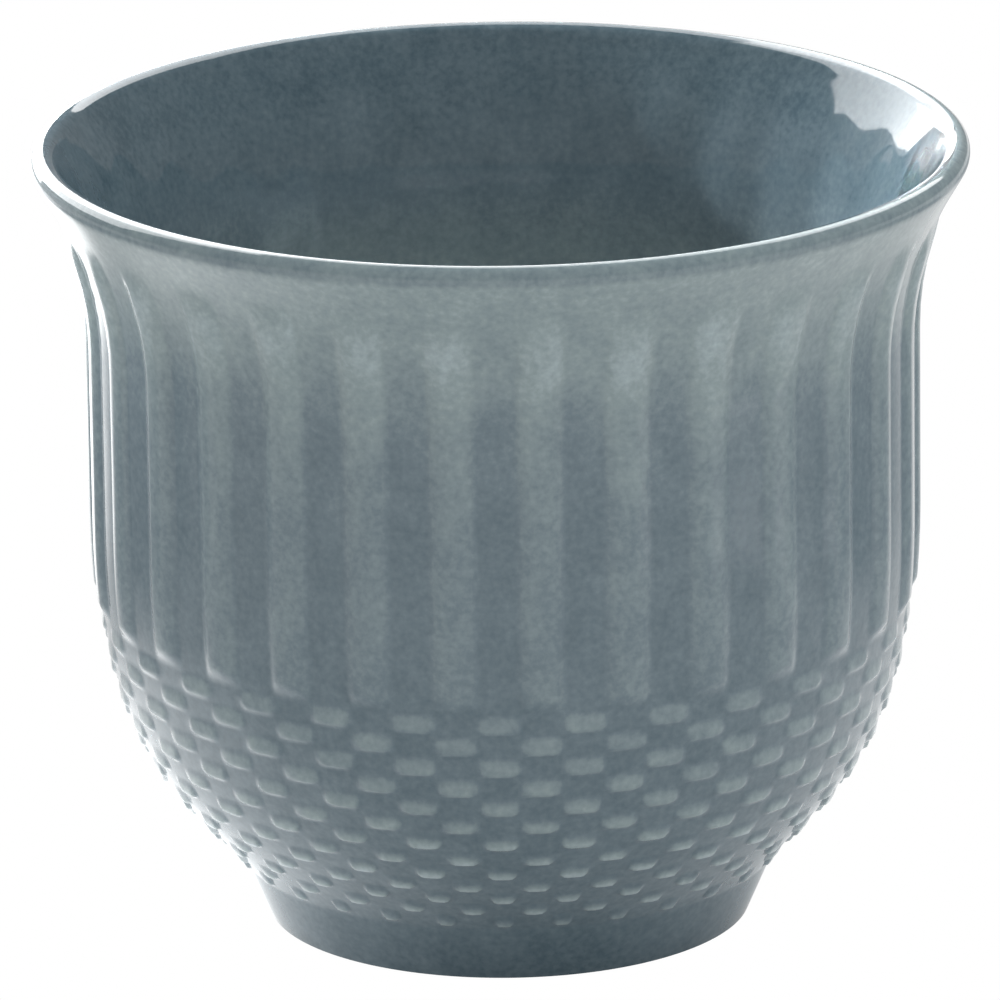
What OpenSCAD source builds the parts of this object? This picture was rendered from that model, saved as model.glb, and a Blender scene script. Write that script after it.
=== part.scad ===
// A handleless stoneware cup with a flared lip, upright ribs and a band of studs.
// Millimetres. The origin is the centre of the standing face and +Z points up.
// The clay and its three coats of glaze are separate solids that meet face to face.

/* [Overall] */
// Height from the standing face to the crown of the lip
cup_h = 77.5; // [72:0.5:84]
// Diameter over the lip
rim_d = 90.5; // [86:0.5:94]
// Diameter of the straight wall, between the ribs
wall_d = 79.7; // [76:0.1:82]
// Thickness of the straight wall between the ribs, glaze included
wall_t = 3; // [2.6:0.1:3.8]

/* [Bowl and flare] */
// Height at which the bowl has turned into the straight wall
bowl_h = 41.5; // [38:0.5:46]
// Angle between the bowl and the upright where it leaves the foot
bowl_angle = 36; // [30:1:42]
// Length of the curve that leads out of the foot
bowl_lead_foot = 9; // [7:0.5:11]
// Length of the curve that leads up into the straight wall
bowl_lead_wall = 25; // [22:0.5:28]
// Height of the flared part below the crown of the lip
flare_h = 18.5; // [15:0.5:20]
// Length of the curve that leads out of the straight wall into the flare
flare_lead_wall = 9.5; // [6:0.5:11]
// Length of the curve that leads into the lip
flare_lead_lip = 2; // [1:0.5:5]

/* [Lip] */
// Radius of the rounded lip, glaze included
lip_r = 1.25; // [1:0.05:1.4]
// Angle between the wall and the upright where it meets the lip
lip_angle = 26; // [15:1:32]

/* [Foot] */
// Diameter of the foot at the standing face
foot_d = 46.8; // [42:0.1:50]
// Diameter of the foot where the bowl starts
foot_top_d = 52; // [49:0.5:55]
// Height of the foot outside
foot_h = 6; // [5:0.25:7]
// Width of the standing face
foot_face_w = 3.2; // [2.6:0.1:4]
// Depth of the recess under the base
recess_h = 3; // [2:0.25:3.5]
// Width of the sloped side of the recess
recess_slope = 1; // [0.5:0.1:1.5]
// Bare clay between the standing face and the glaze, outside and in the recess
bare_h = 0.25; // [0.2:0.05:0.5]
// Bevel on the outer edge of the standing face
foot_bevel = 0.25; // [0.2:0.05:0.5]

/* [Inside] */
// Height of the glazed floor inside
floor_z = 8; // [7:0.25:9]
// Radius of the flat middle of the floor
floor_flat_r = 8; // [6:0.5:12]
// Length of the curve that leads off the floor
floor_lead = 17; // [14:0.5:20]
// Length of the curve that leads up into the straight wall inside
floor_lead_wall = 23; // [20:0.5:26]

/* [Ribs and studs] */
// Number of ribs round the wall, and of studs in each row
ribs = 30; // [24:1:36]
// Rows of studs between the foot and the ribs
stud_rows = 13; // [11:1:14]
// Distance between the rows, measured along the wall
row_pitch = 2.28; // [2:0.02:2.4]
// Distance along the wall from the top of the foot to the lowest row
row_start = 1.5; // [1.1:0.05:1.8]
// Height of the ribs and studs above the recesses between them
relief = 0.45; // [0.3:0.05:0.6]
// Length along the wall over which the ribs run out into the flare
rib_fade = 7; // [5:0.5:8]
// Plain wall left between the ribs and the lip
rib_end = 5; // [4:0.5:6]

/* [Glaze] */
// Thickness of the glaze outside
glaze_t = 0.4; // [0.3:0.05:0.5]
// Thickness of the glaze inside
inner_glaze_t = 0.4; // [0.3:0.05:0.5]
// Thickness of the glaze under the base
base_glaze_t = 0.3; // [0.2:0.05:0.4]
// Gap at the crown between the outer and inner coats
crown_gap = 0.12; // [0.1:0.01:0.2]

/* [Hidden] */
$fn = 180;

// Half the width of a rib or stud top, as a share of the distance between ribs
half_top_share = 0.2;
// Half the height of a stud top, as a share of the distance between rows
half_row_share = 0.3;
// Edges of the rib top and of the flute floor, as shares of the distance between ribs
column_shares = [-half_top_share, half_top_share, 0.5 - half_top_share, 0.5 + half_top_share];
// Middle of the rib and of the flute, for the coarser face between clay and glaze
clay_column_shares = [0, 0.5];
// Rings on the plain flare, and round the lip for the glaze and for the clay
flare_shares = [0.5, 1];
lip_shares = [0.25, 0.5, 0.75, 1];
clay_lip_shares = [0.4, 1];
// Flat crown of the clay inside the middle of the lip, as a share of the clay's own radius
crown_share = 0.56;
// Overrun of the cuts
over = 1;
curve_steps = 24;
lip_steps = 8;

rim_r = rim_d / 2;
wall_r = wall_d / 2;
foot_r = foot_d / 2;
foot_top_r = foot_top_d / 2;
flare_z = cup_h - flare_h;
lip_mid = [rim_r - lip_r, cup_h - lip_r];

// A point at an angle from a centre, and a unit step at an angle from the upright
function polar(mid, r, angle) = mid + r * [cos(angle), sin(angle)];
function lean(angle) = [sin(angle), cos(angle)];

// A cubic curve between two points, pulled by two handles
function curve(a, b, c, d) = [
    for (i = [0 : curve_steps])
        let (t = i / curve_steps, u = 1 - t)
            u * u * u * a + 3 * u * u * t * b + 3 * u * t * t * c + t * t * t * d
];

// The outside from the standing face up to the lip, at the floor of the recesses
foot_top = [foot_top_r, foot_h];
bowl_top = [wall_r, bowl_h];
flare_start = [wall_r, flare_z];
flare_end = polar(lip_mid, lip_r, -lip_angle);
outside = concat(
    [[foot_r, 0]],
    curve(foot_top, foot_top + bowl_lead_foot * lean(bowl_angle), bowl_top - [0, bowl_lead_wall], bowl_top),
    curve(flare_start, flare_start + [0, flare_lead_wall], flare_end - flare_lead_lip * lean(lip_angle), flare_end)
);

// Distance walked along the outside up to each of its points
function walked(line) = [
    for (i = 0, d = 0; i < len(line); d = d + (i + 1 < len(line) ? norm(line[i + 1] - line[i]) : 0), i = i + 1) d
];
outside_walked = walked(outside);
outside_len = outside_walked[len(outside) - 1];
foot_len = outside_walked[1];

// The piece of the outside that holds a distance, the point there and the way outwards,
// which is evened over half a row each way so that no stud is bent by a corner
function piece_at(d) = max(0, len([for (w = outside_walked) if (w < d) w]) - 1);
function point_at(d) = let (i = min(piece_at(d), len(outside) - 2))
    outside[i] + (outside[i + 1] - outside[i]) * (d - outside_walked[i]) / (outside_walked[i + 1] - outside_walked[i]);
function unit(v) = v / norm(v);
function out_at(d) = let (
        half_row = row_pitch / 2,
        a = point_at(max(0, d - half_row)),
        b = point_at(min(outside_len, d + half_row)),
        along = unit(b - a)
    ) [along[1], -along[0]];

// A station is a ring round the cup: its point, the way outwards, and how far the ribs'
// columns and the flutes' columns stand proud there, as shares of the relief
function station(d, rib, flute) = [point_at(d), out_at(d), rib, flute];
function row_at(row) = foot_len + row_start + row * row_pitch;
function in_flute(row) = (stud_rows - 1 - row) % 2 == 0 ? 1 : 0;
glaze_start = bare_h * foot_len / foot_h;
rib_start = row_at(stud_rows) - half_row_share * row_pitch;
rib_stop = outside_len - rib_end;
bowl_len = outside_walked[curve_steps + 1];
wall_len = outside_walked[curve_steps + 2];

foot_stations = [for (d = [glaze_start, foot_len]) station(d, 0, 0)];
stud_stations = [
    for (row = [0 : stud_rows - 1], side = [-half_row_share, half_row_share])
        station(row_at(row) + side * row_pitch, 1 - in_flute(row), in_flute(row))
];
clay_stud_stations = [
    for (row = [0 : stud_rows - 1]) station(row_at(row), 1 - in_flute(row), in_flute(row))
];
function rib_stations(lengths) = concat(
    [for (d = lengths) station(d, 1, 0)],
    [for (share = concat([0], flare_shares)) station(rib_stop + rib_end * share, 0, 0)]
);
function lip_stations(shares) = [
    for (share = shares)
        let (angle = -lip_angle + (90 + lip_angle) * share)
            [polar(lip_mid, lip_r, angle), polar([0, 0], 1, angle), 0, 0]
];
glaze_stations = concat(foot_stations, stud_stations,
    rib_stations([rib_start, bowl_len, wall_len, rib_stop - rib_fade]), lip_stations(lip_shares));
clay_stations = concat(foot_stations, clay_stud_stations,
    rib_stations([rib_start, wall_len, rib_stop - rib_fade]), lip_stations(clay_lip_shares));
// The bevelled edge of the standing face
base_station = [[foot_r - glaze_t - foot_bevel, 0], [0, 0], 0, 0];

// How far a column stands proud at a station, as a share of the relief
function proud(st, i, n) = 2 * i < n ? st[2] : st[3];

// The points of a station's ring, with the surface sunk below the outside
function ring(st, shares, sink) = [
    for (rib = [0 : ribs - 1], i = [0 : len(shares) - 1])
        let (
            p = st[0] + (proud(st, i, len(shares)) * relief - sink) * st[1],
            angle = (rib + 0.5 + shares[i]) * 360 / ribs - 90
        )
            [p[0] * cos(angle), p[0] * sin(angle), p[1]]
];
function rings(stations, shares, sink) = [for (st = stations) each ring(st, shares, sink)];

// The faces between rings. Each four-sided patch is folded along its lower diagonal, so
// that neighbouring studs stay apart at their corners.
function wall_faces(stations, n, first) = let (count = ribs * n) [
    for (s = [0 : len(stations) - 2], j = [0 : count - 1])
        let (
            a = first + s * count + j,
            b = first + s * count + (j + 1) % count,
            c = a + count,
            d = b + count,
            low = stations[s],
            high = stations[s + 1],
            here = j % n,
            next = (j + 1) % n,
            rising = proud(low, here, n) + proud(high, next, n) > proud(low, next, n) + proud(high, here, n)
        )
            each rising ? [[a, c, b], [c, d, b]] : [[a, c, d], [a, d, b]]
];

// The faces between a ring of the glaze and a ring of the clay at one edge of the coat
function edge_faces(glaze, clay) = [
    for (rib = [0 : ribs - 1])
        let (
            g = [for (i = [0 : 4]) glaze + (4 * rib + i) % (4 * ribs)],
            c = [for (i = [0 : 2]) clay + (2 * rib + i) % (2 * ribs)]
        )
            each [
                [g[0], g[1], c[0]], [g[1], c[1], c[0]], [g[1], g[2], c[1]],
                [g[2], g[3], c[1]], [g[3], c[2], c[1]], [g[3], g[4], c[2]]
            ]
];
function turned(faces) = [for (f = faces) [f[2], f[1], f[0]]];

// The inside from the middle of the floor up to the lip, as the glaze shows it
inner_r = wall_r - wall_t;
floor_edge = [floor_flat_r, floor_z];
inner_bowl_top = [inner_r, bowl_h];
inner_flare_start = [inner_r, flare_z];
inner_flare_end = polar(lip_mid, lip_r, 180 - lip_angle);
inside = concat(
    [[0, floor_z]],
    curve(floor_edge, floor_edge + [floor_lead, 0], inner_bowl_top - [0, floor_lead_wall], inner_bowl_top),
    curve(inner_flare_start, inner_flare_start + [0, flare_lead_wall],
        inner_flare_end - flare_lead_lip * lean(lip_angle), inner_flare_end)
);
function sunk(line, depth) = [
    for (i = [0 : len(line) - 1])
        let (along = unit(line[min(i + 1, len(line) - 1)] - line[max(i - 1, 0)]))
            line[i] + depth * [along[1], -along[0]]
];
// The clay's own inside, up to the edge of its flat crown
crown_z = cup_h - glaze_t;
clay_inside = concat(
    sunk(inside, inner_glaze_t),
    [[lip_mid[0] - crown_share * (lip_r - glaze_t), crown_z]]
);
crown_edge = clay_inside[len(clay_inside) - 1];
above_crown = crown_edge + over * unit(crown_edge - clay_inside[len(clay_inside) - 2]);

// The recess under the base
recess_r = base_station[0][0] - foot_face_w;
function recess_side(z) = [recess_r - recess_slope * z / recess_h, z];

module stoneware_body() {
    count = ribs * len(clay_column_shares);
    stations = concat([base_station], clay_stations);
    last = count * (len(stations) - 1);
    color("#d6cdbd")
    difference() {
        polyhedron(
            points = concat(ring(base_station, clay_column_shares, 0),
                rings(clay_stations, clay_column_shares, glaze_t)),
            faces = concat(
                [[for (j = [0 : count - 1]) j]],
                wall_faces(stations, len(clay_column_shares), 0),
                [[for (j = [count - 1 : -1 : 0]) last + j]]
            )
        );
        rotate_extrude()
            polygon(concat(clay_inside, [above_crown, [0, above_crown[1]]]));
        rotate_extrude()
            polygon([recess_side(-over), recess_side(recess_h), [0, recess_h], [0, -over]]);
    }
}

module outer_glaze() {
    glaze_count = ribs * len(column_shares) * len(glaze_stations);
    last_glaze = glaze_count - ribs * len(column_shares);
    last_clay = glaze_count + ribs * len(clay_column_shares) * (len(clay_stations) - 1);
    color("#8fa6a8")
    polyhedron(
        points = concat(rings(glaze_stations, column_shares, 0),
            rings(clay_stations, clay_column_shares, glaze_t)),
        faces = concat(
            wall_faces(glaze_stations, len(column_shares), 0),
            turned(wall_faces(clay_stations, len(clay_column_shares), glaze_count)),
            edge_faces(0, glaze_count),
            turned(edge_faces(last_glaze, last_clay))
        )
    );
}

module inner_glaze() {
    last_angle = 90 + asin(crown_gap / lip_r);
    lip_inside = [
        for (i = [1 : lip_steps])
            polar(lip_mid, lip_r, 180 - lip_angle + (last_angle - 180 + lip_angle) * i / lip_steps)
    ];
    color("#7d9296")
    rotate_extrude()
        polygon(concat(
            inside,
            lip_inside,
            [[lip_mid[0] - crown_gap, crown_z]],
            [for (i = [len(clay_inside) - 1 : -1 : 0]) clay_inside[i]]
        ));
}

module base_glaze() {
    edge = recess_side(bare_h);
    corner = recess_side(recess_h);
    color("#8fa6a8")
    rotate_extrude()
        polygon([
            [0, recess_h], corner, edge,
            edge - [base_glaze_t, 0],
            corner - [base_glaze_t, base_glaze_t],
            [0, recess_h - base_glaze_t]
        ]);
}

stoneware_body();
outer_glaze();
inner_glaze();
base_glaze();
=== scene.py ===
"""A handleless glazed stoneware cup with a flared lip, upright ribs and a band of studs, dressed round its
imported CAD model. Sizes are in millimetres until a mesh is made, and angles in degrees."""

import bpy
import numpy as np
from mathutils import Matrix, Vector


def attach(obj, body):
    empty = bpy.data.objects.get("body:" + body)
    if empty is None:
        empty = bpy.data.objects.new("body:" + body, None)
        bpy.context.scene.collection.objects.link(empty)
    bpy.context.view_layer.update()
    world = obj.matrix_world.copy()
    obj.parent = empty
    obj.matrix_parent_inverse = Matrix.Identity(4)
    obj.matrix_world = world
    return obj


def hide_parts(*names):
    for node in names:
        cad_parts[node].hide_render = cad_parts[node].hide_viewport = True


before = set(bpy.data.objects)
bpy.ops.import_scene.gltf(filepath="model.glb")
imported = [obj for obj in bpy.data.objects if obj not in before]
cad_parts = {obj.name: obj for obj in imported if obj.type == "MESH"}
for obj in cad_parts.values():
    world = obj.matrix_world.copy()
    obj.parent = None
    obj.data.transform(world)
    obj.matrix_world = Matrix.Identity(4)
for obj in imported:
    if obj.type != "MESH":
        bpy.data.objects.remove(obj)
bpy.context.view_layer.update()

# Stoneware body. The cup is one wall of pale fired clay with its foot ring, pressed with the ribs and studs,
# and it shows bare only on the standing ring, which is wiped before firing. The CAD solid stays and gets the
# clay's finish.

MM = 0.001


def linear(hex_colour):
    """An sRGB hex colour as the linear RGBA that the shaders take."""
    srgb = np.array([int(hex_colour[i : i + 2], 16) / 255 for i in (1, 3, 5)])
    rgb = np.where(srgb <= 0.04045, srgb / 12.92, ((srgb + 0.055) / 1.055) ** 2.4)
    return (*rgb.tolist(), 1.0)


def add_node(tree, kind, inputs=None, **settings):
    """Adds one node, sets its options, and sets or links its inputs."""
    node = tree.nodes.new(kind)
    for name, value in settings.items():
        setattr(node, name, value)
    for name, value in (inputs or {}).items():
        if isinstance(value, bpy.types.NodeSocket):
            tree.links.new(value, node.inputs[name])
        else:
            node.inputs[name].default_value = value
    return node


def new_material(name):
    """A material with an empty node tree, and that tree."""
    material = bpy.data.materials.new(name)
    material.use_nodes = True
    material.node_tree.nodes.clear()
    return material, material.node_tree


def bare_stoneware():
    """Fired stoneware wiped clean: a matt, faintly gritty biscuit with dark iron specks."""
    dark_clay = linear("#b9b0a2")
    pale_clay = linear("#d3ccbf")
    iron = linear("#85776a")
    grit_mm = 0.35
    grit_height = 0.05
    speck_mm = 0.9
    speck_edge = (0.66, 0.72)
    material, tree = new_material("bare_stoneware")
    place = add_node(tree, "ShaderNodeTexCoord").outputs["Object"]
    grit = add_node(
        tree, "ShaderNodeTexNoise", {"Vector": place, "Scale": 1 / (grit_mm * MM), "Detail": 3.0}
    ).outputs["Fac"]
    specks = add_node(
        tree, "ShaderNodeTexNoise", {"Vector": place, "Scale": 1 / (speck_mm * MM), "Detail": 1.0}
    ).outputs["Fac"]
    speck_mask = add_node(
        tree, "ShaderNodeMapRange", {"Value": specks, "From Min": speck_edge[0], "From Max": speck_edge[1]}
    ).outputs["Result"]
    clay = add_node(
        tree, "ShaderNodeMix", {"Factor": grit, "A": dark_clay, "B": pale_clay}, data_type="RGBA"
    ).outputs["Result"]
    colour = add_node(
        tree, "ShaderNodeMix", {"Factor": speck_mask, "A": clay, "B": iron}, data_type="RGBA"
    ).outputs["Result"]
    bump = add_node(
        tree, "ShaderNodeBump", {"Strength": 0.5, "Distance": grit_height * MM, "Height": grit}
    ).outputs["Normal"]
    shader = add_node(
        tree,
        "ShaderNodeBsdfPrincipled",
        {"Base Color": colour, "Roughness": 0.82, "Specular IOR Level": 0.35, "Normal": bump},
    )
    add_node(tree, "ShaderNodeOutputMaterial", {"Surface": shader.outputs["BSDF"]})
    return material


def finish_node(name, material):
    """Gives a CAD node that stays its real finish."""
    node_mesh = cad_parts[name].data
    node_mesh.materials.clear()
    node_mesh.materials.append(material)


finish_node("stoneware_body", bare_stoneware())

# Outer glaze. A coat of glossy grey-blue glaze, poured over the outside from the crown of the lip to just
# above the standing face. It melts off the ribs and studs, where it is thin and greyer, and pools blue
# between them. Its colour also holds a painted highlight on each stud's lower face, and painted shade on
# the lip's bead and at the foot. It replaces the CAD coat with the same form, softened as the melted glaze
# softens it.

cup_h = 77.5
rim_r = 45.25
wall_r = 39.85
lip_r = 1.25
lip_angle = 26.0
lip_mid = np.array([rim_r - lip_r, cup_h - lip_r])
foot_r = 23.4
foot_top = np.array([26.0, 6.0])
bowl_h = 41.5
bowl_angle = 36.0
bowl_leads = (9.0, 25.0)
flare_h = 18.5
flare_z = cup_h - flare_h
flare_leads = (9.5, 2.0)
glaze_t = 0.4
glaze_edge_z = 0.25
foot_points = 12
curve_points = 61
lip_points = 16


def lean(angle):
    """A unit step at an angle from the upright, as radius and height."""
    return np.array([np.sin(np.radians(angle)), np.cos(np.radians(angle))])


def lip_point(angle):
    """A point of the rounded lip, by the angle above level."""
    return lip_mid + lip_r * np.array([np.cos(np.radians(angle)), np.sin(np.radians(angle))])


def curve(start, pull_out, pull_in, end):
    """A cubic curve between two points, pulled by two handles."""
    t = np.linspace(0, 1, curve_points)[:, None]
    u = 1 - t
    return u**3 * start + 3 * u * u * t * pull_out + 3 * u * t * t * pull_in + t**3 * end


def walked(line):
    """The distance walked along a line up to each of its points."""
    return np.concatenate([[0], np.cumsum(np.linalg.norm(np.diff(line, axis=0), axis=1))])


def points_at(line, distances):
    """The points of a line at some distances walked along it."""
    along = walked(line)
    return np.stack([np.interp(distances, along, line[:, i]) for i in (0, 1)], axis=1)


def outwards(line):
    """The way that the surface faces at each point of a line that climbs."""
    along = np.gradient(line, walked(line), axis=0)
    along /= np.linalg.norm(along, axis=1)[:, None]
    return np.stack([along[:, 1], -along[:, 0]], axis=1)


bowl_top = np.array([wall_r, bowl_h])
flare_start = np.array([wall_r, flare_z])
flare_end = lip_point(-lip_angle)
foot_line = np.linspace([foot_r, 0], foot_top, foot_points)[:-1]
bowl_line = curve(
    foot_top, foot_top + bowl_leads[0] * lean(bowl_angle), bowl_top - [0, bowl_leads[1]], bowl_top
)
flare_line = curve(
    flare_start, flare_start + [0, flare_leads[0]], flare_end - flare_leads[1] * lean(lip_angle), flare_end
)
lip_line = np.array([lip_point(angle) for angle in np.linspace(-lip_angle, 90, lip_points)])
outside = np.concatenate([foot_line, bowl_line, flare_line, lip_line[1:]])
foot_len = np.linalg.norm(foot_top - [foot_r, 0])
total_len = walked(outside)[-1]
lip_len = total_len - walked(lip_line)[-1]

# The ribs and studs. How far they stand proud is in shares of the relief, their widths are in shares of a
# rib's pitch round the cup, and what runs up the wall is in rows of studs, apart from the ribs' fade and
# end. Rows count from the foot. The wear is how far the glaze has run off, a little wider than the ribs.
ribs = 30
relief = 0.45
rib_relief = 1.2
rib_half = 0.215
rib_shoulder = 0.15
rib_fullness = 0.8
rib_rise = 0.8
rib_fade = 5.0
rib_end = 4.0
rib_wear = 0.44
rib_wear_half = 0.25
rib_wear_shoulder = 0.13
rib_gap = 0.4
stud_rows = 13
row_pitch = 2.28
row_start = 1.5
rib_stop = lip_len - rib_end
rows_start = foot_len + row_start
rib_start = rows_start + (stud_rows - 1 + rib_gap) * row_pitch
rows = np.arange(stud_rows)
stud_sizes = np.interp(rows, [0, 1, 4], [0.78, 0.9, 1.0])
stud_widths = np.interp(rows, [0, 1, 3, 6, 9, 12], [0.17, 0.19, 0.21, 0.24, 0.27, 0.28])
stud_heights = np.interp(rows, [0, 5, 9, 12], [0.43, 0.43, 0.5, 0.52])
stud_relief = np.interp(rows, [0, 5, 9, 12], [1.0, 1.0, 0.8, 0.6])
# A stud's pale part is partly glaze run thin and partly a painted highlight, the white table's reflection on
# its lower face, strongest on the low rows.
stud_wear_and_highlight = np.interp(rows, [0, 1, 4, 8, 12], [1.5, 1.9, 1.7, 0.9, 0.62])
stud_pale_reach = np.interp(rows, [0, 5, 9, 12], [0.5, 0.6, 1.0, 1.2])
stud_pale_fall = 1.6
stud_side_squareness = 4
stud_end_squareness = 3
stud_slope = 0.85
stud_middle = 0.6
stud_lean = 1.2


def soft_step(x):
    """Rises from 0 to 1 with soft ends while x goes from 0 to 1."""
    x = np.clip(x, 0, 1)
    return x * x * (3 - 2 * x)


def plateau(x, half, soft):
    """1 within half of the middle, falling to 0 over a soft shoulder centred on that edge."""
    return soft_step(0.5 + (half - np.abs(x)) / soft)


def melted_relief(turns, distance):
    """How far the wall stands proud, in shares of the relief, and how far the glaze has run off it there,
    with a painted highlight added on each stud's lower part. Turns counts ribs round the cup and distance
    runs up the wall. Each stud leans out towards its lower edge."""
    across_rib = turns % 1 - 0.5
    up_rib = np.clip((distance - rib_start) / row_pitch, 0, None)
    rib_ends = soft_step(up_rib / rib_rise) * (1 - soft_step((distance - rib_stop + rib_fade) / rib_fade))
    rib_form = 1 - (1 - plateau(across_rib, rib_half, rib_shoulder)) ** rib_fullness
    proud = rib_relief * rib_form * rib_ends
    wear_and_highlight = rib_wear * plateau(across_rib, rib_wear_half, rib_wear_shoulder) * rib_ends
    for row in rows:
        in_flute = (stud_rows - 1 - row) % 2 == 0
        across = (turns + (0.5 if in_flute else 0.0)) % 1 - 0.5
        up = (distance - rows_start - row * row_pitch) / row_pitch
        side_fall = np.abs(across / stud_widths[row]) ** stud_side_squareness
        end_fall = np.abs(up / stud_heights[row]) ** stud_end_squareness
        dome = soft_step((1 - (side_fall + end_fall)) / stud_slope) * stud_sizes[row]
        leaning = np.clip(stud_middle - stud_lean * up, 0, 1)
        # The pale part of the stud: glaze run thin, and a painted highlight of the table's reflection low
        # down.
        pale_share = soft_step(stud_pale_reach[row] - stud_pale_fall * up)
        proud = np.maximum(proud, stud_relief[row] * dome * leaning)
        wear_and_highlight = np.maximum(wear_and_highlight, stud_wear_and_highlight[row] * dome * pale_share)
    return proud, wear_and_highlight


# The mesh's columns stand closest where the ribs and studs fall away, in shares of the pitch from a flute's
# middle, and its rows stand closest on the studs. The coat's back, which no view shows, has fewer rows.
half_rib = np.array([0, 0.09, 0.14, 0.175, 0.21, 0.245, 0.285, 0.38])
one_rib = np.sort(np.concatenate([half_rib, [0.5], 1 - half_rib[1:]]))
outer_turns = (np.arange(ribs)[:, None] + one_rib).ravel()
foot_rows = 12
steps_a_row = 8
rib_rows = 16
fade_rows = 22
lip_rows = 16
back_rows = 26
start_len = foot_len * glaze_edge_z / foot_top[1]
stations = np.concatenate(
    [
        np.linspace(start_len, rows_start - row_pitch, foot_rows)[:-1],
        np.arange(rows_start - row_pitch, rib_start + row_pitch, row_pitch / steps_a_row),
        np.linspace(rib_start + row_pitch, rib_stop - rib_fade, rib_rows)[:-1],
        np.linspace(rib_stop - rib_fade, lip_len, fade_rows)[:-1],
        np.linspace(lip_len, total_len, lip_rows),
    ]
)
sharp_angle = 60


def revolved(name, profile, turns, lift):
    """A closed ring of a section turned round the axis, each point lifted off its surface by lift. Turns
    counts ribs round the cup."""
    columns = len(turns)
    angles = turns / ribs * 2 * np.pi
    facing = outwards(profile)
    radius = profile[:, :1] + lift * facing[:, :1]
    height = profile[:, 1:] + lift * facing[:, 1:]
    points = np.stack([radius * np.sin(angles), -radius * np.cos(angles), height], axis=-1) * MM
    ring, column = np.meshgrid(np.arange(len(profile)), np.arange(columns), indexing="ij")
    next_ring = (ring + 1) % len(profile)
    next_column = (column + 1) % columns
    corners = [(ring, column), (ring, next_column), (next_ring, next_column), (next_ring, column)]
    faces = np.stack([r * columns + c for r, c in corners], axis=-1)
    mesh = bpy.data.meshes.new(name)
    mesh.from_pydata(points.reshape(-1, 3).tolist(), [], faces.reshape(-1, 4).tolist())
    mesh.polygons.foreach_set("use_smooth", np.ones(len(mesh.polygons), dtype=bool))
    mesh.set_sharp_from_angle(angle=np.radians(sharp_angle))
    piece = bpy.data.objects.new(name, mesh)
    bpy.context.scene.collection.objects.link(piece)
    return piece


def set_colour_depth(coat, depths):
    """Writes the glaze's depth of colour at each point of a coat, from 0 where it is thin to 1. The depth
    also holds painted highlights, painted shade and painted light.
    """
    layer = coat.data.attributes.new("glaze_depth_and_painted_light", "FLOAT", "POINT")
    layer.data.foreach_set("value", depths.astype(np.float32).ravel())


proud, wear_and_highlight = melted_relief(outer_turns[None, :], stations[:, None])
skin = points_at(outside, stations)
under_line = points_at(outside, np.linspace(start_len, total_len, back_rows))
back = (under_line - glaze_t * outwards(under_line))[::-1]
no_lift = np.zeros((len(back), len(outer_turns)))
outer_profile = np.concatenate([skin, back])
outer_lift = np.concatenate([relief * proud, no_lift])
outer_coat = revolved("outer_glaze_coat", outer_profile, outer_turns, outer_lift)

# The glaze has run down: it is thinnest under the lip and deepest at the foot, partly pooled and partly
# painted shade there. The darker band on the lip's bead, just below its crown, is painted shade.
run_down_and_shade_z = [1, 8, 30, 50, 60, 66, 74, 75.4, 75.9, cup_h]
run_down_and_shade_depths = [0.92, 0.74, 0.7, 0.69, 0.6, 0.4, 0.33, 0.32, 0.48, 0.42]
run_down_and_shade = np.interp(skin[:, 1], run_down_and_shade_z, run_down_and_shade_depths)
# Worn glaze and the painted highlights on the studs make the colour paler by this much.
wear_and_highlight_depth = 0.38
back_depth = 0.6
outer_depth = np.concatenate([run_down_and_shade[:, None] - wear_and_highlight_depth * wear_and_highlight, no_lift + back_depth])
set_colour_depth(outer_coat, outer_depth)

glaze_colours = [(0.0, "#a6b4b9"), (0.3, "#869597"), (0.6, "#67777f"), (1.0, "#41555f")]


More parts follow.
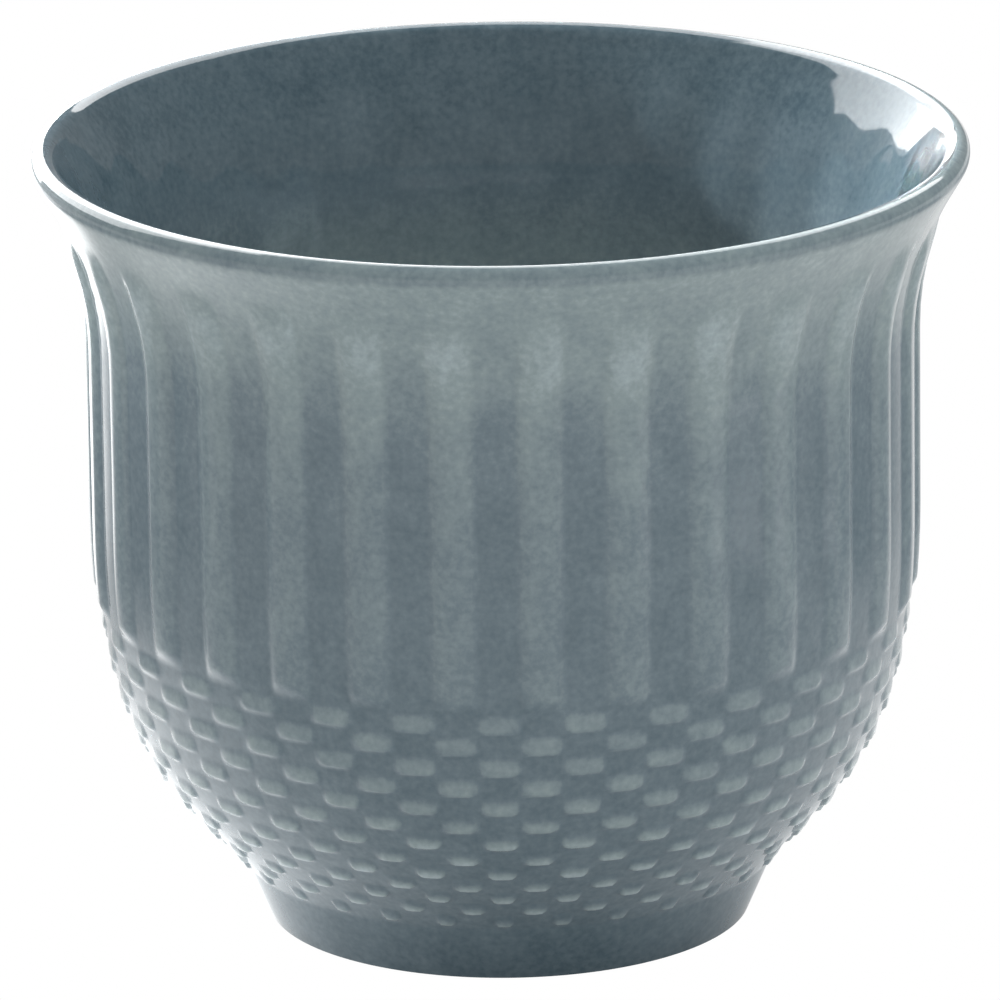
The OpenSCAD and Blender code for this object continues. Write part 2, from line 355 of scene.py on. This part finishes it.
def glaze(name, colour_depth):
    """Glossy stoneware glaze under a clear, wet-looking surface: pale where it is thin, deep blue-grey where
    it has pooled, and clouded and mottled where it melted unevenly. The colour depth is a number from 0 to 1,
    or the name of the mesh layer that holds it, in which painted light and shade are also written."""
    patch_mm = 4.5
    patch_share = 0.35
    mottle_mm = 0.7
    mottle_share = 0.4
    ripple_mm = 1.6
    ripple_height = 0.02
    material, tree = new_material(name)
    place = add_node(tree, "ShaderNodeTexCoord").outputs["Object"]
    patches = add_node(
        tree,
        "ShaderNodeTexNoise",
        {"Vector": place, "Scale": 1 / (patch_mm * MM), "Detail": 4.0, "Roughness": 0.6},
    ).outputs["Fac"]
    mottle = add_node(
        tree, "ShaderNodeTexNoise", {"Vector": place, "Scale": 1 / (mottle_mm * MM), "Detail": 3.0}
    ).outputs["Fac"]
    ripple = add_node(
        tree, "ShaderNodeTexNoise", {"Vector": place, "Scale": 1 / (ripple_mm * MM), "Detail": 1.0}
    ).outputs["Fac"]
    if isinstance(colour_depth, str):
        colour_depth = add_node(tree, "ShaderNodeAttribute", attribute_name=colour_depth).outputs["Fac"]
    clouded = add_node(
        tree, "ShaderNodeMath", {0: patches, 1: patch_share, 2: colour_depth}, operation="MULTIPLY_ADD"
    ).outputs["Value"]
    speckled = add_node(
        tree, "ShaderNodeMath", {0: mottle, 1: mottle_share, 2: clouded}, operation="MULTIPLY_ADD"
    ).outputs["Value"]
    mean_added = (patch_share + mottle_share) / 2
    depth = add_node(tree, "ShaderNodeMath", {0: speckled, 1: mean_added}, operation="SUBTRACT")
    ramp = add_node(tree, "ShaderNodeValToRGB", {"Fac": depth.outputs["Value"]})
    stops = ramp.color_ramp.elements
    for share, _ in glaze_colours[1:-1]:
        stops.new(share)
    for stop, (share, hex_colour) in zip(stops, glaze_colours):
        stop.position = share
        stop.color = linear(hex_colour)
    bump = add_node(
        tree, "ShaderNodeBump", {"Strength": 0.3, "Distance": ripple_height * MM, "Height": ripple}
    ).outputs["Normal"]
    shader = add_node(
        tree,
        "ShaderNodeBsdfPrincipled",
        {
            "Base Color": ramp.outputs["Color"],
            "Roughness": 0.5,
            "Specular IOR Level": 0.0,
            "Coat Weight": 1.0,
            "Coat Roughness": 0.05,
            "Coat IOR": 1.5,
            "Coat Normal": bump,
        },
    )
    add_node(tree, "ShaderNodeOutputMaterial", {"Surface": shader.outputs["BSDF"]})
    return material


outer_coat.data.materials.append(glaze("outer_grey_blue_glaze", "glaze_depth_and_painted_light"))
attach(outer_coat, "root")
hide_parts("outer_glaze")

# Inner glaze. The same glaze swilled round the inside and poured out, so it lies evenly on the smooth wall
# and floor and meets the outer coat on the crown of the lip. Its colour is painted paler low down, painted
# light that keeps the deep inside from falling into shade. It replaces the CAD coat with the same form on
# finer faces, and the pressed ribs print through it a little.

wall_t = 3.0
floor_z = 8.0
floor_flat_r = 8.0
floor_leads = (17.0, 23.0)
floor_points = 6
inner_t = 0.4
inner_r = wall_r - wall_t
axis_gap = 0.01
print_depth = 0.1
inner_columns = 360
inner_rows = 150
back_every = 3
floor_edge = np.array([floor_flat_r, floor_z])
inner_bowl_top = np.array([inner_r, bowl_h])
inner_flare_start = np.array([inner_r, flare_z])
inner_end = lip_point(180 - lip_angle)
inside = np.concatenate(
    [
        np.linspace([axis_gap, floor_z], floor_edge, floor_points)[:-1],
        curve(
            floor_edge,
            floor_edge + [floor_leads[0], 0],
            inner_bowl_top - [0, floor_leads[1]],
            inner_bowl_top,
        ),
        curve(
            inner_flare_start,
            inner_flare_start + [0, flare_leads[0]],
            inner_end - flare_leads[1] * lean(lip_angle),
            inner_end,
        ),
        np.array([lip_point(angle) for angle in np.linspace(180 - lip_angle, 90, lip_points)])[1:],
    ]
)
inner_skin = points_at(inside, np.linspace(0, walked(inside)[-1], inner_rows))
inner_back = inner_skin[::back_every] + inner_t * outwards(inner_skin)[::back_every]
inner_profile = np.concatenate([inner_skin[::-1], inner_back])
inner_turns = np.arange(inner_columns) / inner_columns * ribs
print_share = np.interp(inner_skin[:, 1], [30, 50, 70, 76], [0, 1, 1, 0])[::-1, None]
rib_print = print_depth * print_share * np.cos(2 * np.pi * inner_turns)
no_print = np.zeros((len(inner_back), inner_columns))
inner_lift = np.concatenate([rib_print, no_print])
inner_coat = revolved("inner_glaze_coat", inner_profile, inner_turns, inner_lift)
# Painted light: the inside is paler towards the floor and deeper in colour towards the lip.
inner_depth_with_painted_light = np.interp(inner_profile[:, 1], [50, 58, 66, 73], [0.28, 0.46, 0.74, 0.86])
set_colour_depth(inner_coat, np.repeat(inner_depth_with_painted_light, inner_columns))
inner_coat.data.materials.append(glaze("inner_grey_blue_glaze", "glaze_depth_and_painted_light"))
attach(inner_coat, "root")
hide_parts("inner_glaze")

# Base glaze. A thin coat of the same glaze in the recess under the base, which keeps the base from soaking
# up water. The CAD solid stays and gets the glaze's finish.

base_depth = 0.75
finish_node("base_glaze", glaze("base_grey_blue_glaze", base_depth))

# Studio. A white sweep lit from behind, as for catalogue pictures. The softboxes behind and over the cup show
# in its gloss alone, a narrow beam lights its inside, and the room lights its colour. Pools of painted light
# and patches of painted shade on the table stand for the reflectors and flags that lie round the cup.

white = linear("#ffffff")
laminate_white = linear("#ececec")
laminate_in_shade = linear("#a9adb0")

# Each spot on the table has a middle, and the radii at which it has faded out and is still full. The painted
# shade patches show only in gloss. A pool of painted light also has its glow, and lights everything or shows
# only in gloss.
painted_shade_patches = [
    ((-190, 70, 0), (105, 50)),
    ((195, 80, 0), (105, 50)),
    ((110, 300, 0), (140, 60)),
]
painted_light_pools = [
    ((-52, 5, 0), (70, 15), 1.2, "all"),
    ((52, 5, 0), (70, 15), 0.3, "all"),
    ((-120, 270, 0), (180, 50), 1.6, "gloss"),
    ((-82, 140, 0), (65, 25), 1.25, "gloss"),
]


def spot_share(tree, place, middle, radii):
    """1 in the full part of a spot on the table, falling to 0 with soft ends where it has faded out."""
    away = add_node(
        tree, "ShaderNodeVectorMath", {0: place, 1: Vector(middle) * MM}, operation="DISTANCE"
    ).outputs["Value"]
    return add_node(
        tree,
        "ShaderNodeMapRange",
        {"Value": away, "From Min": radii[0] * MM, "From Max": radii[1] * MM},
        interpolation_type="SMOOTHSTEP",
    ).outputs["Result"]


def white_table():
    """Matt white laminate, lit and shaded by the lamps, and burnt out to pure white in the picture. Gloss
    shows it with patches of painted shade, and pools of painted light lie on top."""
    material, tree = new_material("white_table")
    ray = add_node(tree, "ShaderNodeLightPath").outputs
    place = add_node(tree, "ShaderNodeTexCoord").outputs["Object"]
    # Painted shade, seen only in gloss.
    painted_shade_share = 0.0
    for middle, radii in painted_shade_patches:
        share = spot_share(tree, place, middle, radii)
        painted_shade_share = add_node(tree, "ShaderNodeMath", {0: share, 1: painted_shade_share}, operation="MAXIMUM").outputs["Value"]
    painted_shade_in_gloss = add_node(
        tree, "ShaderNodeMath", {0: painted_shade_share, 1: ray["Is Glossy Ray"]}, operation="MULTIPLY"
    ).outputs["Value"]
    laminate = add_node(
        tree,
        "ShaderNodeMix",
        {"Factor": painted_shade_in_gloss, "A": laminate_white, "B": laminate_in_shade},
        data_type="RGBA",
    ).outputs["Result"]
    # Pools of painted light: the table glows there though no lamp lights it.
    lit = 0.0
    for middle, radii, glow, shown_to in painted_light_pools:
        share = spot_share(tree, place, middle, radii)
        if shown_to == "gloss":
            share = add_node(
                tree, "ShaderNodeMath", {0: share, 1: ray["Is Glossy Ray"]}, operation="MULTIPLY"
            ).outputs["Value"]
        lit = add_node(
            tree, "ShaderNodeMath", {0: share, 1: glow, 2: lit}, operation="MULTIPLY_ADD"
        ).outputs["Value"]
    matt = add_node(tree, "ShaderNodeBsdfDiffuse", {"Color": laminate}).outputs["BSDF"]
    pools = add_node(tree, "ShaderNodeEmission", {"Color": white, "Strength": lit}).outputs["Emission"]
    table_top = add_node(tree, "ShaderNodeAddShader", {0: matt, 1: pools}).outputs["Shader"]
    burnt_out = add_node(tree, "ShaderNodeEmission", {"Color": white, "Strength": 1.0}).outputs["Emission"]
    shown = add_node(
        tree, "ShaderNodeMixShader", {"Fac": ray["Is Camera Ray"], 1: table_top, 2: burnt_out}
    ).outputs["Shader"]
    add_node(tree, "ShaderNodeOutputMaterial", {"Surface": shown})
    return material


# The table lies a hair lower than the foot, so that the two faces never flicker through each other.
table_half = 1500.0
table_z = -0.02
table_corners = [(-1, -1), (1, -1), (1, 1), (-1, 1)]
table_mesh = bpy.data.meshes.new("table")
table_points = [(x * table_half * MM, y * table_half * MM, table_z * MM) for x, y in table_corners]
table_mesh.from_pydata(table_points, [], [(0, 1, 2, 3)])
table = bpy.data.objects.new("table", table_mesh)
bpy.context.scene.collection.objects.link(table)
table.data.materials.append(white_table())


def softbox(name, place, size, radiance, target=(0, 0, 70), roll=0, spread=180, hidden_from="diffuse"):
    """A rectangular softbox at a place, turned towards a target and rolled, with its radiance. It lights only
    the gloss of surfaces, or only their matt colour."""
    lamp = bpy.data.lights.new(name, "AREA")
    lamp.shape = "RECTANGLE"
    lamp.size = size[0] * MM
    lamp.size_y = size[1] * MM
    lamp.energy = radiance * np.pi * lamp.size * lamp.size_y
    lamp.spread = np.radians(spread)
    holder = bpy.data.objects.new(name, lamp)
    holder.location = Vector(place) * MM
    aimed = (Vector(target) - Vector(place)).to_track_quat("-Z", "Y").to_matrix()
    holder.rotation_euler = (aimed @ Matrix.Rotation(np.radians(roll), 3, "Z")).to_euler()
    setattr(holder, "visible_" + hidden_from, False)
    bpy.context.scene.collection.objects.link(holder)


softbox("back_left_softbox", place=(-295, 421, 379), size=(690, 485), radiance=5.0, roll=30)
softbox("backdrop_strip", place=(-225, 600, 135), size=(390, 230), radiance=4.0)
softbox("overhead_softbox", place=(0, 495, 565), size=(800, 500), radiance=4.5)
softbox(
    "inside_beam",
    place=(-330, 190, 300),
    size=(62, 62),
    radiance=3.0,
    target=(26, -8, 62),
    spread=6,
    hidden_from="glossy",
)

# The room is plain white to the camera. Gloss shows it dim, with a white backdrop behind the cup on the left,
# and matt colour is lit from the front, from the front on the right, and from behind and above.
room_in_gloss = 0.3
backdrop_edges = [("X", 0.15, -0.25), ("Z", 0.65, 0.15), ("Y", 0.3, 0.7)]
matt_glows = [
    ((0.0, -0.958, 0.287), 0.62),
    ((0.766, -0.575, 0.287), 0.42),
    ((0.0, 0.707, 0.707), 1.62),
]
world = bpy.data.worlds.new("white_room")
bpy.context.scene.world = world
world.use_nodes = True
room = world.node_tree
room.nodes.clear()
room_ray = add_node(room, "ShaderNodeLightPath").outputs
way = add_node(room, "ShaderNodeTexCoord").outputs["Generated"]
way_parts = add_node(room, "ShaderNodeSeparateXYZ", {"Vector": way}).outputs
backdrop = 1.0
for axis, edge, full in backdrop_edges:
    share = add_node(
        room,
        "ShaderNodeMapRange",
        {"Value": way_parts[axis], "From Min": edge, "From Max": full},
        interpolation_type="SMOOTHSTEP",
    ).outputs["Result"]
    backdrop = add_node(
        room, "ShaderNodeMath", {0: share, 1: backdrop}, operation="MULTIPLY"
    ).outputs["Value"]
in_gloss = add_node(
    room, "ShaderNodeMapRange", {"Value": backdrop, "To Min": room_in_gloss, "To Max": 1.0}
).outputs["Result"]
on_matt = 0.0
for towards, glow in matt_glows:
    facing_it = add_node(room, "ShaderNodeVectorMath", {0: way, 1: towards}, operation="DOT_PRODUCT")
    share = add_node(
        room, "ShaderNodeMapRange", {"Value": facing_it.outputs["Value"]}, interpolation_type="SMOOTHSTEP"
    ).outputs["Result"]
    on_matt = add_node(
        room, "ShaderNodeMath", {0: share, 1: glow, 2: on_matt}, operation="MULTIPLY_ADD"
    ).outputs["Value"]
fill = add_node(
    room, "ShaderNodeMix", {"Factor": room_ray["Is Glossy Ray"], "A": on_matt, "B": in_gloss}
).outputs["Result"]
room_level = add_node(
    room, "ShaderNodeMath", {0: fill, 1: room_ray["Is Camera Ray"]}, operation="MAXIMUM"
).outputs["Value"]
room_light = add_node(room, "ShaderNodeBackground", {"Color": white, "Strength": room_level})
add_node(room, "ShaderNodeOutputWorld", {"Surface": room_light.outputs["Background"]})

# Camera. A long lens from the front, a little above the rim, as the product is photographed.

frame_px = 1000
sensor_mm = 36.0
camera_distance = 1200.0
azimuth = 1.2
elevation = 17.12
roll = 0.74
px_per_mm = 10.286
aim_height = 39.0
aim_px = (504.9, 521.4)
nearest_seen = 10.0

turn = np.radians(azimuth)
tilt = np.radians(elevation)
lean_over = np.radians(roll)
back_to_camera = Vector((np.sin(turn) * np.cos(tilt), -np.cos(turn) * np.cos(tilt), np.sin(tilt)))
level_right = Vector((np.cos(turn), np.sin(turn), 0))
level_up = back_to_camera.cross(level_right)
right = level_right * np.cos(lean_over) - level_up * np.sin(lean_over)
up = level_right * np.sin(lean_over) + level_up * np.cos(lean_over)
off_right = (frame_px / 2 - aim_px[0]) / px_per_mm
off_up = (aim_px[1] - frame_px / 2) / px_per_mm
stand = Vector((0, 0, aim_height)) + right * off_right + up * off_up + back_to_camera * camera_distance
lens = bpy.data.cameras.new("camera")
lens.sensor_width = sensor_mm
lens.lens = px_per_mm * camera_distance * sensor_mm / frame_px
lens.clip_start = nearest_seen * MM
camera = bpy.data.objects.new("camera", lens)
turned = Matrix((right, up, back_to_camera)).transposed().to_4x4()
camera.matrix_world = Matrix.Translation(stand * MM) @ turned
bpy.context.scene.collection.objects.link(camera)
bpy.context.scene.camera = camera
bpy.context.scene.view_settings.view_transform = "Standard"
